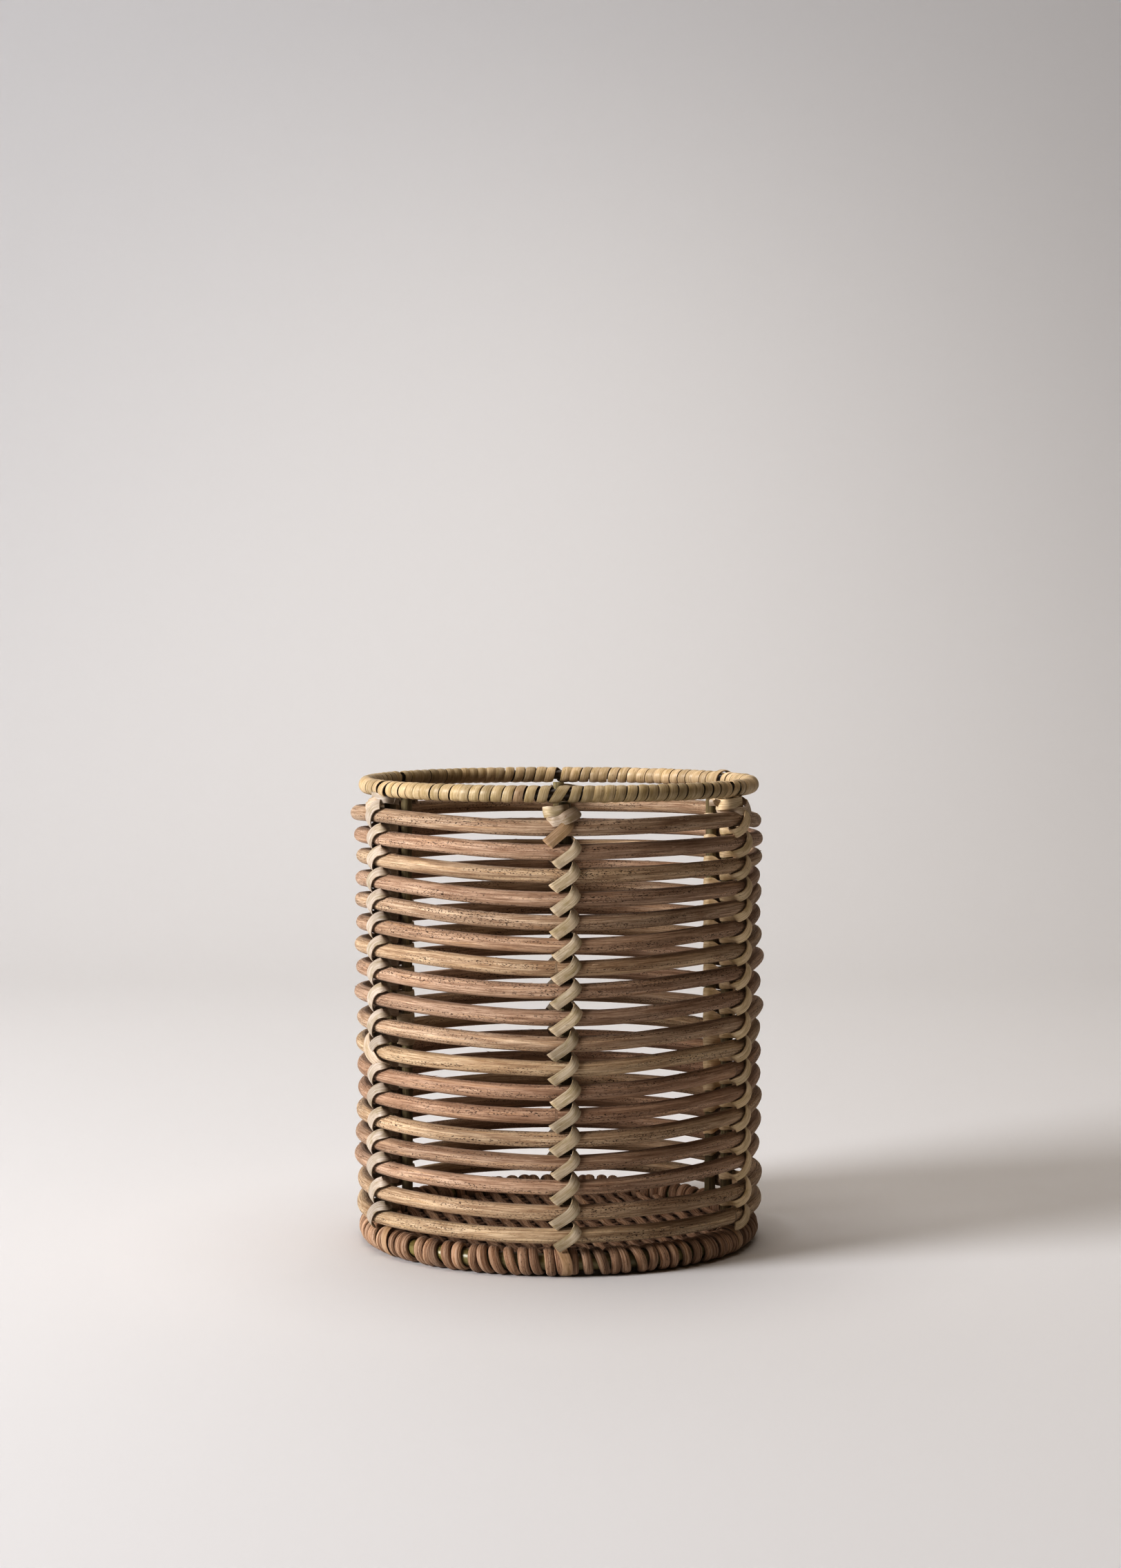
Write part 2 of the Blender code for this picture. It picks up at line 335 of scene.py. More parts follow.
# The grain runs along, across and through a strand, in metres.  A pattern stretched by
# (50, 1300, 1300) so has marks about 20 mm long and under 1 mm wide.
FIBRE_SHADE = (0.50, 0.39, 0.29)
BAND_SHADE = (0.58, 0.48, 0.38)
BAND_LIGHT = (0.95, 0.86, 0.74)
HAIR_SHADE = (0.45, 0.34, 0.25)
STAIN_SHADE = (0.66, 0.53, 0.42)
PORE = (0.075, 0.040, 0.020)
CANE_LINE = (0.62, 0.52, 0.36)
CANE_CLOUD = (0.60, 0.55, 0.34)
CANE_MARK = (0.17, 0.10, 0.045)
CANE_EDGE = (0.40, 0.28, 0.15)
STUDIO_WHITE = (0.79, 0.798, 0.808, 1.0)


def rattan(name, streaks, pores, rough, sheen, fibre_depth):
    """Bare rattan core: fine lengthwise fibres, broad stains and scattered dark pores.

    Streaks and pores are strengths from 0 to 1, and fibre_depth is in mm.
    """
    n = Nodes(name)
    grain = n.attribute("grain").outputs["Vector"]
    tint = n.attribute("tint").outputs["Color"]
    fibres = n.noise(grain, 1.0, (50.0, 1300.0, 1300.0), detail=4.0, rough=0.65)
    hairs = n.noise(grain, 1.0, (160.0, 3600.0, 3600.0), detail=2.0)
    bands = n.noise(grain, 1.0, (20.0, 560.0, 560.0), detail=3.0, rough=0.6, warp=0.3)
    stains = n.noise(grain, 1.0, (26.0, 130.0, 130.0), detail=3.0, warp=0.8)
    specks = n.noise(grain, 1.0, (720.0, 1700.0, 1700.0), detail=1.5)
    where = n.noise(grain, 1.0, (13.0, 230.0, 230.0), detail=2.0)
    dark = n.mix(n.ramp(fibres, 0.36, 0.60, streaks, 0.0), tint, FIBRE_SHADE, "MULTIPLY")
    banded = n.mix(n.ramp(bands, 0.38, 0.56, 0.42, 0.0), dark, BAND_SHADE, "MULTIPLY")
    light = n.mix(n.ramp(bands, 0.52, 0.72, 0.0, 0.60), banded, BAND_LIGHT, "SOFT_LIGHT")
    fine = n.mix(n.ramp(hairs, 0.40, 0.60, 0.25, 0.0), light, HAIR_SHADE, "MULTIPLY")
    stained = n.mix(n.ramp(stains, 0.46, 0.72, 0.0, 0.45), fine, STAIN_SHADE, "MULTIPLY")
    pitted = n.maths("MULTIPLY", n.ramp(specks, 0.57, 0.65), n.ramp(where, 0.44, 0.60, 0.15, 1.0))
    pitted = n.maths("MULTIPLY", pitted, pores)
    colour = n.mix(pitted, stained, PORE)
    n.link(colour, n.shader.inputs["Base Color"])
    n.link(n.ramp(fibres, 0.3, 0.7, rough + 0.10, rough - 0.06), n.shader.inputs["Roughness"])
    n.shader.inputs["Specular IOR Level"].default_value = 0.5
    n.shader.inputs["Sheen Weight"].default_value = sheen
    n.shader.inputs["Sheen Roughness"].default_value = 0.4
    relief = n.bump(fibres, fibre_depth * MM)
    relief = n.bump(hairs, fibre_depth * 0.35 * MM, below=relief)
    pits = n.maths("SUBTRACT", 1.0, pitted)
    n.link(n.bump(pits, 0.10 * MM, below=relief), n.shader.inputs["Normal"])
    return n.material


def cane(name, rough, coat):
    """Cane skin: smooth and satin, with faint lines, small stains and browner cut edges."""
    n = Nodes(name)
    grain = n.attribute("grain").outputs["Vector"]
    tint = n.attribute("tint").outputs["Color"]
    edge = n.attribute("edge").outputs["Fac"]
    lines = n.noise(grain, 1.0, (60.0, 1700.0, 400.0), detail=3.0)
    clouds = n.noise(grain, 1.0, (90.0, 240.0, 240.0), detail=4.0, warp=0.5)
    marks = n.noise(grain, 1.0, (330.0, 900.0, 400.0), detail=2.0)
    lined = n.mix(n.ramp(lines, 0.35, 0.68, 0.55, 0.0), tint, CANE_LINE, "MULTIPLY")
    clouded = n.mix(n.ramp(clouds, 0.42, 0.70, 0.0, 0.55), lined, CANE_CLOUD, "MULTIPLY")
    marked = n.mix(n.ramp(marks, 0.66, 0.76, 0.0, 0.6), clouded, CANE_MARK)
    frayed = n.ramp(edge, 0.93, 1.0, 0.0, 0.35)
    colour = n.mix(frayed, marked, CANE_EDGE, "MULTIPLY")
    n.link(colour, n.shader.inputs["Base Color"])
    n.link(n.ramp(clouds, 0.3, 0.7, rough - 0.05, rough + 0.12), n.shader.inputs["Roughness"])
    n.shader.inputs["Specular IOR Level"].default_value = 0.5
    n.shader.inputs["Coat Weight"].default_value = coat
    n.shader.inputs["Coat Roughness"].default_value = 0.3
    n.link(n.bump(lines, 0.10 * MM, below=n.bump(clouds, 0.12 * MM)), n.shader.inputs["Normal"])
    return n.material


def floor_material():
    """Matt, slightly cool white."""
    n = Nodes("studio_floor")
    n.shader.inputs["Base Color"].default_value = STUDIO_WHITE
    n.shader.inputs["Roughness"].default_value = 0.9
    n.shader.inputs["Specular IOR Level"].default_value = 0.1
    return n.material


# ---------------------------------------------------------------- the basket's own irregularity

# How far each hoop stands above its even place, in mm: (hoop numbers, lifts), one pair for each
# stake from the front towards +X.
LIFTS = (
    ((1, 4, 7, 10, 12, 15, 17, 18), (-0.2, -0.6, 0.5, 0.8, 0.2, 1.2, 0.2, 0.3)),
    ((1, 4, 6, 10, 15, 16, 17, 18), (1.4, 1.0, 4.0, 4.6, 4.3, 4.6, 0.4, 0.3)),
    ((1, 18), (0.0, 0.0)),
    ((1, 18), (0.0, 0.0)),
    ((1, 18), (0.0, 0.0)),
    ((1, 5, 8, 10, 11, 16, 17, 18), (3.2, 5.0, 4.4, 3.4, 1.6, 1.2, 0.3, -1.0)),
)

# How much flatter than a circle the wall is half-way between two stakes, in mm: one number for
# each stake, for the stretch after it.
FLATTENING = (3.5, -0.5, 0.8, 0.8, -0.3, 3.6)

# How far the hoops bow up behind the right-hand stake, in mm: hoop numbers, then rises.
RIGHT_RISE = ((1, 3, 5, 15, 18), (-3.5, 2.0, 7.0, 7.0, 1.5))

# The top hoop stands out from the wall at the left, after this stake, by this much.
TOP_HOOP_OUT_AFTER = 4
TOP_HOOP_OUT = 3.2 * MM

# How far each stake stands off its even place round the basket, in degrees.
DRIFTS = (1.9, 5.0, 0.0, 0.0, 0.0, -4.8)
STAKE_AZIMUTHS = STAKE_STEP * np.arange(COUNT) + np.radians(DRIFTS)
RIGHT_STAKE = 1
LEFT_STAKE = 5


def between_stakes(azimuth):
    """The number of the stake before each azimuth, and how far on towards the next one it is."""
    ends = np.append(STAKE_AZIMUTHS, STAKE_AZIMUTHS[0] + 2 * math.pi)
    turned = np.mod(azimuth - ends[0], 2 * math.pi) + ends[0]
    place = np.interp(turned, ends, np.arange(COUNT + 1))
    whole = np.minimum(np.floor(place).astype(int), COUNT - 1)
    return whole, place - whole


def hoop_lift(row, azimuth):
    """How far a hoop stands above its even height."""
    at_stakes = np.array([np.interp(row + 1, rows, lifts) for rows, lifts in LIFTS]) * MM
    whole, part = between_stakes(azimuth)
    ease = (1 - np.cos(math.pi * part)) / 2
    level = at_stakes[whole] * (1 - ease) + at_stakes[(whole + 1) % COUNT] * ease
    rise = np.interp(row + 1, *RIGHT_RISE) * MM
    return level + np.where(whole == RIGHT_STAKE, rise * np.sin(math.pi * part), 0.0)


def hoop_bulge(row, azimuth):
    """How far a hoop swells out between stakes.  It is held to its circle at each stake."""
    draw = np.random.default_rng(500 + row)
    swell = draw.normal(0.2, 0.9, COUNT) * MM
    if row == 0:
        swell[TOP_HOOP_OUT_AFTER] = TOP_HOOP_OUT
    whole, part = between_stakes(azimuth)
    flat = np.array(FLATTENING)[whole] * MM
    return swell[whole] * np.sin(math.pi * part) ** 2 - flat * np.sin(math.pi * part)


def hoop_line(row, azimuth):
    """Centre-line of a hoop at the given azimuths."""
    circle = HOOP_CIRCLE + hoop_bulge(row, azimuth)
    height = HOOP_HEIGHTS[row] + hoop_lift(row, azimuth) + waves(700 + row, azimuth, 0.22 * MM, 2, 7)
    return outward(azimuth) * circle[..., None] + UP * height[..., None]


# ---------------------------------------------------------------- pieces

# Tints of the strands, before the materials add grain and stains.
BEIGE = (0.64, 0.510, 0.385)
PINK = (0.64, 0.490, 0.375)
SAND = (0.66, 0.530, 0.385)
BROWN = (0.59, 0.445, 0.330)
RUSSET = (0.58, 0.425, 0.315)
STRAW = (0.69, 0.565, 0.405)
ROW_TINTS = (
    BEIGE, PINK, SAND, PINK, BEIGE, BROWN, SAND, PINK, PINK,
    BEIGE, STRAW, RUSSET, RUSSET, SAND, BROWN, PINK, SAND, STRAW,
)
CREAM = (0.69, 0.61, 0.49)
DULL_CREAM = (0.58, 0.52, 0.46)
BRIGHT_CREAM = (0.85, 0.73, 0.54)
LASHING_TINTS = (CREAM, BRIGHT_CREAM, BRIGHT_CREAM, CREAM, CREAM, DULL_CREAM)
PALE_CREAM = (0.66, 0.57, 0.48)
OLIVE_CREAM = (0.57, 0.475, 0.315)
# A paler cane tint, painted light for the parts of the rim that face the key lamp.
RIM_PAINTED_LIGHT = (0.70, 0.575, 0.405)
FIBROUS = (0.57, 0.43, 0.30)
REED = (0.56, 0.415, 0.305)
# Reed darkened as painted shade, for the floor's lower set, which lies in shadow under the other.
REED_PAINTED_SHADE = (0.36, 0.25, 0.18)
REED_PALE = (0.58, 0.43, 0.30)
GREY_GREEN = (0.30, 0.265, 0.150)
OLIVE = (0.30, 0.27, 0.12)
DARK_CORE = (0.10, 0.065, 0.035)


def varied(seed, tint, count, size=0.05, step=40.0):
    """A tint that drifts in lightness along a strand."""
    drift = 1 + smooth_steps(seed, np.arange(count) / step, size)
    return np.asarray(tint) * drift[:, None]


SLIVERS = 34
SLIVER_TAPER = np.array([0.7, 1.0, 0.85, 0.5, 0.12])
SLIVER_LIGHTER = 1.15


def add_slivers(bundle, row, tint):
    """Fibres that have lifted off a rod, mostly along its upper edge."""
    draw = np.random.default_rng(1200 + row)
    for _ in range(SLIVERS):
        length = draw.uniform(2.0, 8.0) * MM
        first = draw.uniform(0, 2 * math.pi)
        azimuth = first + np.linspace(0, length / HOOP_CIRCLE, 5) * draw.choice((-1, 1))
        bearing = math.radians(draw.normal(70, 30))
        lift = ROD_RADIUS - 0.10 * MM + np.linspace(0, 1, 5) ** 2 * draw.uniform(0.1, 0.9) * MM
        normals = outward(azimuth) * math.cos(bearing) + UP * math.sin(bearing)
        centres = hoop_line(row, azimuth) + normals * lift[:, None]
        taper = SLIVER_TAPER * draw.uniform(0.16, 0.42) * MM
        bundle.sweep(centres, normals, round_section(4), taper, taper * 0.5,
                     np.asarray(tint) * SLIVER_LIGHTER, start=row + first)


def make_hoops(material):
    """The rods: closed rings with an uneven, slightly faceted section."""
    count, sides = 420, 20
    azimuth = np.linspace(0, 2 * math.pi, count, endpoint=False)
    ring = np.linspace(0, 2 * math.pi, sides, endpoint=False)
    for row, name in enumerate(HOOPS):
        seam = (row * 5 % COUNT) * STAKE_STEP
        turned = azimuth + seam
        centres = hoop_line(row, turned)
        uneven = 1 + waves(900 + row, azimuth, 0.014, 1, 6)[:, None]
        facets = 1 + 0.012 * np.cos(3 * ring + row) + 0.010 * np.cos(5 * ring + 2 * row)
        section = round_section(sides)[None] * (uneven * facets)[..., None]
        size = ROD_RADIUS * (1 + 0.02 * math.sin(row * 2.4))
        tint = varied(row, ROW_TINTS[row], count)
        bundle = Bundle()
        bundle.sweep(centres, outward(turned), section, size, size, tint, closed=True,
                     start=row * 1.7)
        add_slivers(bundle, row, ROW_TINTS[row])
        bundle.make(f"rod_{name}", material, [name])


def make_stakes(material):
    """The uprights, each with a slight bend."""
    low, high = STAKE_LOW.z, STAKE_HIGH.z
    height = np.linspace(low, high, 120)
    for number, name in enumerate(STAKES):
        azimuth = np.full(height.shape, STAKE_AZIMUTHS[number])
        bend = smooth_steps(40 + number, (height - low) / 0.05, 0.25 * MM)
        centres = outward(azimuth) * STAKE_CIRCLE + UP * height[:, None]
        centres += rightward(azimuth) * bend[:, None]
        bundle = Bundle()
        tint = varied(60 + number, GREY_GREEN, len(height), 0.08, 12.0)
        bundle.sweep(centres, outward(azimuth), round_section(16), STAKE_RADIUS, STAKE_RADIUS,
                     tint, start=9.0 + number)
        bundle.make(f"upright_{name}", material, [name])


# The lashing's way over one rod, from the top down: mm to the right of the stake, mm above the
# rod's middle, mm out from the hoop's circle, and the strip's normal as right, forth and rise.
STRIP_WAY = (
    (5.9, 5.9, 3.4, 0.80, 0.45, 0.40),
    (5.6, 4.2, 4.5, 0.50, 0.78, 0.38),
    (4.6, 2.0, 5.2, 0.22, 0.95, 0.20),
    (2.4, -0.4, 5.45, 0.00, 1.00, 0.00),
    (-0.8, -2.8, 5.2, -0.12, 0.97, -0.20),
    (-4.0, -5.2, 4.5, -0.30, 0.80, -0.45),
    (-6.9, -7.3, 3.4, -0.52, 0.60, -0.60),
)
# The same at the left-hand stake, where the strip comes in from further right.
LEFT_WAY = (
    (12.0, 7.0, 2.2, 0.55, 0.60, 0.58),
    (9.4, 6.0, 4.2, 0.45, 0.72, 0.52),
    (6.4, 4.0, 5.4, 0.35, 0.85, 0.38),
    (3.2, 1.2, 5.9, 0.22, 0.97, 0.10),
    (0.6, -2.0, 5.6, 0.05, 0.98, -0.18),
    (-1.4, -4.8, 4.2, -0.15, 0.85, -0.50),
    (-3.0, -7.0, 1.6, -0.35, 0.60, -0.70),
)
# The same at the right-hand stake, where it leaves further left.
RIGHT_WAY = (
    (3.0, 7.0, 1.4, 0.40, 0.60, 0.70),
    (2.0, 5.0, 4.2, 0.20, 0.85, 0.50),
    (1.0, 2.4, 5.6, 0.00, 0.98, 0.20),
    (-0.6, -0.8, 5.9, -0.20, 0.97, -0.05),
    (-3.4, -3.6, 5.4, -0.38, 0.88, -0.25),
    (-6.6, -5.8, 4.0, -0.50, 0.72, -0.45),
    (-9.6, -7.0, 1.6, -0.60, 0.55, -0.55),
)
STRIP_WAYS = {RIGHT_STAKE: RIGHT_WAY, LEFT_STAKE: LEFT_WAY}

# The half gap between rods that the ways above are drawn for, and the room that the strip has
# below the last rod, in mm.
WAY_ROOM = 7.0
BOTTOM_ROOM = 6.4
# Under the top rod the strip reaches this many times further down.
TOP_STRETCH = 1.2
# Width of the lashing on a rod, beside a stake and behind each stake, in mm.
STRIP_WIDTH = 6.9
BESIDE_WIDTH = 5.6
INNER_WIDTHS = (6.4, 6.4, 9.4, 7.4, 6.4, 6.4)
STRIP_THICKNESS = 1.25 * MM
# The turn behind the stake: its distance from the stake's middle, how far across and in from the
# hoop's circle the strip is beside the stake, and how far in it is where it folds under a rod.
BEHIND_RADIUS = STAKE_RADIUS + 0.6 * MM
BESIDE_ACROSS = 5.2 * MM
BESIDE_IN = 5.0 * MM
FOLD_IN = 0.8 * MM
# Top rod: how far the strip is pulled to the right at each stake, and its width there, in mm.
TOP_SHIFTS = (-3.6, -3.6, -3.6, -3.6, -3.6, -1.2)
TOP_WIDTHS = (7.6, 7.6, 7.6, 7.6, 7.6, 6.9)


def lashing_keys(number):
    """Across, outward, up, normal and width along a lashing, from the top down.

    On each rod the strip slants from upper right to lower left.  Then it folds in under the
    rod, passes behind the stake and comes out on the right above the next rod.
    """
    azimuth = STAKE_AZIMUTHS[number]
    draw = np.random.default_rng(70 + number)
    rows = len(HOOPS)
    at = [float(hoop_line(row, np.array(azimuth))[2]) for row in range(rows)]
    way = STRIP_WAYS.get(number, STRIP_WAY)
    keys = []
    for row in range(rows):
        above = (at[row - 1] - at[row]) / 2 if row else WAY_ROOM * MM
        below = (at[row] - at[row + 1]) / 2 if row < rows - 1 else BOTTOM_ROOM * MM
        reach = 1 + draw.normal(0, 0.06)
        shift = draw.normal(0, 0.75) * MM
        wide = (STRIP_WIDTH + draw.normal(0, 0.35)) * MM
        if row == 0:
            shift = TOP_SHIFTS[number] * MM
            wide = TOP_WIDTHS[number] * MM
        for across, up, out, right, forth, rise in way:
            room = (above if up > 0 else below) / (WAY_ROOM * MM)
            if row == 0 and up < 0:
                room *= TOP_STRETCH
            keys.append((across * reach * MM + shift, HOOP_CIRCLE + out * MM,
                         at[row] + up * room * MM, right, forth, rise, wide))
        if row == rows - 1:
            break
        middle = at[row] - below
        keys.append((way[-1][0] * 0.9 * MM + shift / 2, HOOP_CIRCLE - FOLD_IN, middle + 0.1 * MM,
                     -0.70, 0.0, -0.72, wide * 0.9))
        keys.append((-BESIDE_ACROSS, HOOP_CIRCLE - BESIDE_IN, middle + 0.1 * MM,
                     -0.85, -0.1, -0.5, BESIDE_WIDTH * MM))
        for bearing in (-100, -145, 180, 145, 100):
            angle = math.radians(bearing)
            across = BEHIND_RADIUS * math.sin(angle)
            out = STAKE_CIRCLE + BEHIND_RADIUS * math.cos(angle)
            lean = -0.5 * MM * bearing / 180 if abs(bearing) < 180 else 0.0
            keys.append((across, out, middle + lean,
                         math.sin(angle), math.cos(angle), 0.0, INNER_WIDTHS[number] * MM))
        keys.append((BESIDE_ACROSS, HOOP_CIRCLE - BESIDE_IN, middle,
                     0.85, -0.1, 0.5, BESIDE_WIDTH * MM))
        keys.append((way[0][0] * 0.95 * MM, HOOP_CIRCLE - FOLD_IN, middle,
                     0.70, 0.0, 0.72, wide * 0.9))
    return keys


def place_keys(keys, azimuth, per_span):
    """Turn stake-side keys into points, normals and widths in the frame."""
    line = spline(keys, per_span)
    out = outward(azimuth)
    right = rightward(azimuth)
    centres = line[:, :1] * right + line[:, 1:2] * out + line[:, 2:3] * UP
    normals = line[:, 3:4] * right + line[:, 4:5] * out + line[:, 5:6] * UP
    return centres, unit(normals), line[:, 6]


SPLICED_ROW = 9


def splice_keys():
    """Where a new strip was let in: one extra pass that slants the other way over two rods.

    Each row is a key like those of lashing_keys.
    """
    azimuth = STAKE_AZIMUTHS[LEFT_STAKE]
    upper = float(hoop_line(SPLICED_ROW, np.array(azimuth))[2])
    lower = float(hoop_line(SPLICED_ROW + 1, np.array(azimuth))[2])
    face = HOOP_CIRCLE + ROD_RADIUS
    return [
        (-3.0 * MM, face - 7.0 * MM, upper - 3.0 * MM, -0.3, 0.4, 0.85, 4.5 * MM),
        (-4.5 * MM, face - 0.8 * MM, upper - 5.8 * MM, -0.2, 0.8, 0.5, 5.6 * MM),
        (-2.5 * MM, face + 1.6 * MM, (upper + lower) / 2 - 2.5 * MM, 0.15, 0.95, 0.2, 6.8 * MM),
        (1.5 * MM, face + 2.2 * MM, lower + 0.5 * MM, 0.45, 0.88, 0.0, 7.2 * MM),
        (6.0 * MM, face + 1.2 * MM, lower - 3.6 * MM, 0.6, 0.75, -0.2, 7.0 * MM),
        (10.0 * MM, face - 1.5 * MM, lower - 6.6 * MM, 0.55, 0.5, -0.6, 6.2 * MM),
        (12.0 * MM, face - 7.0 * MM, lower - 8.0 * MM, 0.4, 0.1, -0.9, 4.4 * MM),
    ]


# The top of the front lashing is browner: how many points that reaches, and how many it fades over.
BROWN_POINTS = 36
FADE_POINTS = 12


def make_lashings(material):
    """The long cane strips that bind the rods to the stakes."""
    for number in range(COUNT):
        keys = lashing_keys(number)
        centres, normals, width = place_keys(keys, STAKE_AZIMUTHS[number], 4)
        count = len(centres)
        tint = varied(90 + number, LASHING_TINTS[number], count, 0.10, 26.0)
        if number == 0:
            topmost = np.clip((BROWN_POINTS - np.arange(count)) / FADE_POINTS, 0, 1)[:, None]
            tint = tint * (1 - topmost) + np.asarray(FIBROUS) * topmost
        bundle = Bundle()
        bundle.sweep(centres, normals, strip_section(0.34), width, STRIP_THICKNESS, tint,
                     start=20.0 + number)
        if number == LEFT_STAKE:
            centres, normals, width = place_keys(splice_keys(), STAKE_AZIMUTHS[number], 8)
            bundle.sweep(centres, normals, strip_section(0.3), width, 1.1 * MM,
                         varied(99, PALE_CREAM, len(centres), 0.06, 12.0), start=29.0)
        bundle.make(f"cane_lashing_{number + 1}", material,
                    [f"lashing_{number + 1}"], sharp=50)


def winding(circle, height, radius, phase, azimuth):
    """Points and normals of a strip wound round a ring, from phase round the ring's tube."""
    normals = outward(azimuth) * np.cos(phase)[:, None] + UP * np.sin(phase)[:, None]
    centres = outward(azimuth) * circle + UP * height + normals * radius[:, None]
    return centres, normals


# Points along one turn of a winding.
TURN_STEPS = 26

# Turns between two stakes, where the first one starts, how far outside the CAD's rim the binding
# stands, and the strip's width in mm.
RIM_TURNS_BETWEEN = 18
RIM_FIRST_TURN = math.radians(2.1)
RIM_SWELL = 0.6 * MM
RIM_STRIP_WIDTH = 6.05
RIM_STRIP_THICKNESS = 1.15 * MM
# At each stake the binding's outer side slants, and moves on this much faster.
RIM_LEAP = 1.9
# One turn stands proud at the back right, and one is brown, left of the front.
PROUD_LOOP = math.radians(118)
PROUD_SPREAD = 0.022
PROUD_HEIGHT = 2.6 * MM
BROWN_WRAP = math.radians(-11.6)
BROWN_SPREAD = 0.028
# Where the binding is painted paler, as painted light: on the left, where it faces the key lamp, and
# round the back, whose inner side faces the lamp.
PAINTED_LIGHT_BACK = math.radians(128)
PAINTED_LIGHT_LEFT = math.radians(-72)


def make_rim(core_material, cane_material):
    """The rim: a core ring and one long strip of cane wound round it."""
    azimuth = np.linspace(0, 2 * math.pi, 240, endpoint=False)
    core = Bundle()
    core.sweep(outward(azimuth) * RIM_CIRCLE + UP * RIM_HEIGHT, outward(azimuth),
               round_section(12), RIM_CORE, RIM_CORE, DARK_CORE, closed=True)
    core.make("rim_ring", core_material, ["rim_core"])

    index = np.arange(RIM_TURNS_BETWEEN * COUNT * TURN_STEPS)
    turn = index / TURN_STEPS
    phase = math.pi / 2 - 2 * math.pi * turn
    outside = np.clip(np.cos(phase), 0, 1)
    past_stake = np.mod(turn + 0.5, RIM_TURNS_BETWEEN) - 0.5
    slant = np.where(np.abs(past_stake) < 0.75, outside, 0.0)
    pace = 1 + RIM_LEAP * slant + smooth_steps(11, turn, 0.10)
    advance = np.cumsum(pace)
    cut = advance.reshape(COUNT, -1)
    begins = np.concatenate([[0.0], cut[:-1, -1]])[:, None]
    share = (cut - begins) / (cut[:, -1:] - begins)
    azimuth = RIM_FIRST_TURN - (np.arange(COUNT)[:, None] + share).ravel() * STAKE_STEP
    azimuth += smooth_steps(12, turn, 0.0016)
    thick = RIM_STRIP_THICKNESS
    radius = RIM_RADIUS + RIM_SWELL - thick / 2 + np.abs(smooth_steps(13, turn * 2, 0.12 * MM))
    proud = np.exp(-((azimuth + 2 * math.pi - PROUD_LOOP) / PROUD_SPREAD) ** 2)
    radius = radius + proud * PROUD_HEIGHT
    centres, normals = winding(RIM_CIRCLE, RIM_HEIGHT, radius, phase, azimuth)
    width = (RIM_STRIP_WIDTH + smooth_steps(14, turn, 0.25)) * MM
    # Painted light: the binding's tint is made paler where it faces the key lamp, on the left and on
    # the inner side at the back right.
    painted_light_back = np.clip(np.cos(azimuth - PAINTED_LIGHT_BACK), 0, 1) ** 0.7
    painted_light_left = np.clip(np.cos(azimuth - PAINTED_LIGHT_LEFT), 0, 1) ** 6 * 0.8
    painted_light = np.maximum(painted_light_back, painted_light_left)[:, None]
    tint = np.asarray(OLIVE_CREAM) * (1 - painted_light) + np.asarray(RIM_PAINTED_LIGHT) * painted_light
    tint = tint * varied(15, (1.0, 1.0, 1.0), len(index), 0.10, TURN_STEPS)
    brown = np.exp(-((azimuth - BROWN_WRAP) / BROWN_SPREAD) ** 4)[:, None]
    tint = tint * (1 - brown) + np.asarray(FIBROUS) * 0.85 * brown
    binding = Bundle()
    binding.sweep(centres, normals, strip_section(0.42), width, thick, tint, start=40.0)
    wraps = [f"rim_wrap_{number + 1}" for number in range(COUNT)]
    binding.make("rim_binding", cane_material, wraps, sharp=50)


# The knot's upper turn, in mm: half its size across and outwards, how far its middle is outside
# the stake, its height above the top rod's middle, and the strip's width.
BAND_ACROSS = 7.2
BAND_DEEP = 5.6
BAND_OUT = 3.8
BAND_UP = 9.6
BAND_WIDTH = 6.6
# How far that middle is to the right of the stake, and how large the turn is, at each stake.
BAND_MIDDLES = (-5.4, -5.4, -5.4, -5.4, -5.4, 1.0)
BAND_SIZES = (1.0, 1.3, 1.0, 1.0, 1.0, 1.3)


def upper_band(draw, number):
    """A wide turn of cane round a stake's head."""
    middle = BAND_MIDDLES[number]
    size = BAND_SIZES[number]
    keys = []
    for bearing in range(-250, 171, 35):
        angle = math.radians(bearing)
        right = middle + BAND_ACROSS * size * math.sin(angle) + draw.normal(0, 0.3)
        forth = BAND_OUT + BAND_DEEP * size * math.cos(angle) + draw.normal(0, 0.2)
        up = BAND_UP + 0.9 * math.cos(angle - 0.9) + draw.normal(0, 0.25)
        tip = 0.25 * math.sin(angle * 1.5)
        keys.append((right * MM, STAKE_CIRCLE + forth * MM, up * MM,
                     math.sin(angle), math.cos(angle), tip, BAND_WIDTH * MM))
    return keys


# The knot's last turn: mm right of its middle, out from the stake and above the top rod's middle,
# then the strip's normal as right, forth and rise, and its width in mm.
CROSSING_WAY = (
    (-3.0, -4.5, 5.2, -0.5, -0.8, 0.0, 4.0),
    (-7.4, -0.5, 5.0, -0.9, 0.0, -0.3, 4.4),
    (-7.9, 6.2, 4.6, -0.8, 0.6, -0.3, 4.6),
    (-5.2, 11.8, 4.4, -0.45, 0.85, -0.1, 5.2),
    (-0.8, 13.6, 5.0, -0.05, 1.0, 0.1, 6.2),
    (3.6, 13.4, 6.6, 0.2, 0.95, 0.25, 7.8),
    (7.2, 10.6, 8.6, 0.5, 0.75, 0.45, 7.8),
    (9.0, 6.0, 10.4, 0.8, 0.35, 0.6, 6.0),
    (7.2, 2.0, 10.4, 0.6, -0.4, 0.7, 4.4),
    (3.4, -1.6, 9.6, 0.2, -0.9, 0.4, 4.2),
)
CROSSING_MIDDLE = -2.2


def crossing_band(draw):
    """The last turn: it rises from lower left, crosses in front and folds over at upper right."""
    keys = []
    for across, out, up, right, forth, rise, wide in CROSSING_WAY:
        keys.append(((across + CROSSING_MIDDLE + draw.normal(0, 0.3)) * MM,
                     STAKE_CIRCLE + (out + draw.normal(0, 0.2)) * MM,
                     (up + draw.normal(0, 0.25)) * MM, right, forth, rise, wide * MM))
    return keys


